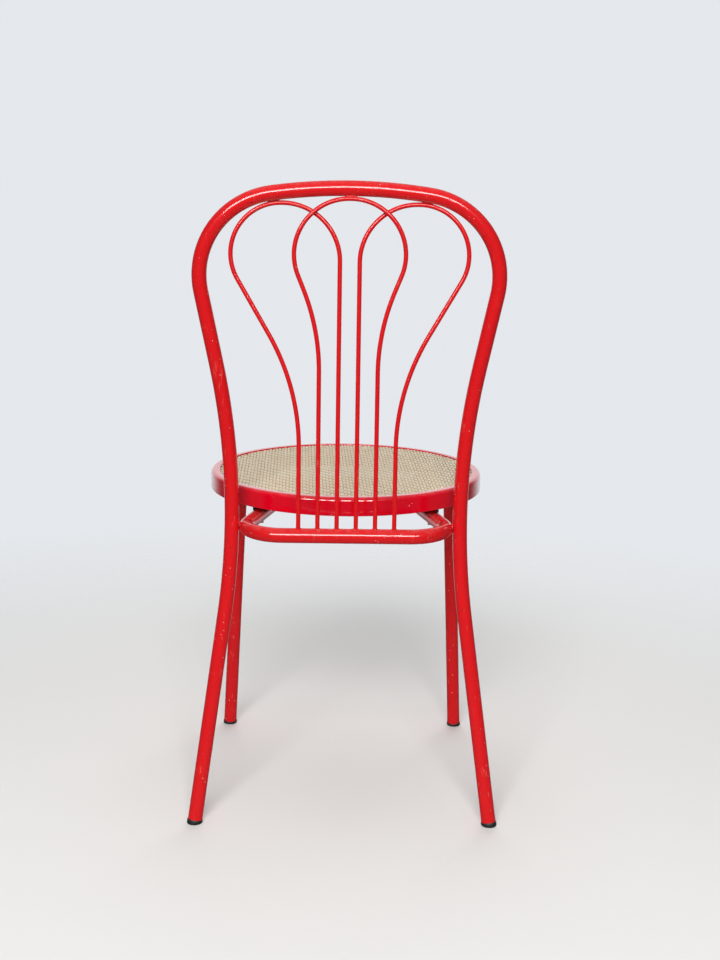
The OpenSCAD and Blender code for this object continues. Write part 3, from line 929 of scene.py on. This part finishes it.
# The floor fades out into the pale room, and the paint's gloss looks past it.
floor.visible_glossy = False
floor_paint, floor_tree, floor_shader = finish_shell("pale_floor", Roughness=0.9)
floor_shader.inputs["Base Color"].default_value = (0.80, 0.80, 0.79, 1)
floor_shader.inputs["Specular IOR Level"].default_value = 0.1
out_from_middle = place(floor_tree, "ShaderNodeVectorMath", {0: where(floor_tree)}, operation="LENGTH")
faded = ramp(floor_tree, out_from_middle.outputs["Value"], 0.45, 1.7)
from_below = place(floor_tree, "ShaderNodeNewGeometry").outputs["Backfacing"]
gone = math_node(floor_tree, "MAXIMUM", faded, from_below)
floor_tree.links.new(math_node(floor_tree, "SUBTRACT", 1.0, gone), floor_shader.inputs["Alpha"])
floor_mesh.materials.append(floor_paint)

world = bpy.data.worlds.new("studio")
bpy.context.scene.world = world
world.use_nodes = True
studio = world.node_tree
# The room is pale in front of the chair and dim behind it, and looks evenly pale to the camera.
towards = place(
    studio, "ShaderNodeSeparateXYZ",
    {"Vector": place(studio, "ShaderNodeTexCoord").outputs["Generated"]},
).outputs
pale_wall = ramp(studio, math_node(studio, "MULTIPLY", towards["Y"], -1.0), 0.62, 0.90)
pale_wall = math_node(studio, "MULTIPLY", pale_wall, ramp(studio, towards["Z"], -0.45, -0.15))
ceiling = ramp(studio, towards["Z"], 0.3, 0.9)
lit = math_node(studio, "MULTIPLY_ADD", pale_wall, 0.80, 0.07)
lit = math_node(studio, "MULTIPLY_ADD", ceiling, 0.16, lit)
seen = place(studio, "ShaderNodeLightPath").outputs["Is Camera Ray"]
strength = place(
    studio, "ShaderNodeMapRange", {"Value": seen, "To Min": lit, "To Max": 0.84}
).outputs["Result"]
sky = studio.nodes["Background"]
sky.inputs["Color"].default_value = (0.93, 0.96, 1.0, 1)
studio.links.new(strength, sky.inputs["Strength"])


def soft_light(name, at, aim, wide, tall, power, glossy, diffuse):
    """An area light that the camera never sees. It may show in gloss only, or light surfaces only."""
    lamp = bpy.data.lights.new(name, "AREA")
    lamp.shape, lamp.size, lamp.size_y = "RECTANGLE", wide, tall
    lamp.energy, lamp.color = power, (1.0, 0.99, 0.97)
    made = bpy.data.objects.new(name, lamp)
    made.location = at
    made.rotation_mode = "QUATERNION"
    made.rotation_quaternion = (Vector(aim) - Vector(at)).to_track_quat("-Z", "Y")
    made.visible_camera, made.visible_glossy, made.visible_diffuse = False, glossy, diffuse
    bpy.context.scene.collection.objects.link(made)


soft_light("window_in_gloss", (0.2, 2.75, 1.75), (0, 0.1, 0.7), 3.4, 0.65, 140, True, False)
soft_light("window_light", (0.25, 2.75, 2.2), (0, 0.1, 0.5), 1.7, 1.1, 100, False, True)
soft_light("front_fill", (-0.4, -2.6, 1.5), (0, 0, 0.45), 2.6, 1.8, 34, False, True)
soft_light("overhead_fill", (0, -0.6, 3.4), (0, -0.1, 0.3), 2.6, 2.6, 22, False, True)

camera_lens = bpy.data.cameras.new("camera")
camera_lens.sensor_fit = "HORIZONTAL"
camera_lens.sensor_width = 36
camera_lens.lens = 73.186
camera = bpy.data.objects.new("camera", camera_lens)
yaw, pitch, roll = 0.0154, 0.2140, 0.0162
look = Vector((
    -math.sin(yaw) * math.cos(pitch), -math.cos(yaw) * math.cos(pitch), -math.sin(pitch)
))
level = look.cross(Vector((0, 0, 1))).normalized()
upright = level.cross(look)
right = level * math.cos(roll) + upright * math.sin(roll)
top_way = upright * math.cos(roll) - level * math.sin(roll)
camera_at = Vector((0.01172, seat_mid.y + 2.13493, 0.90592))
camera.matrix_world = Matrix((
    (right.x, top_way.x, -look.x, camera_at.x),
    (right.y, top_way.y, -look.y, camera_at.y),
    (right.z, top_way.z, -look.z, camera_at.z),
    (0, 0, 0, 1),
))
bpy.context.scene.collection.objects.link(camera)
bpy.context.scene.camera = camera
bpy.context.scene.view_settings.view_transform = "Standard"
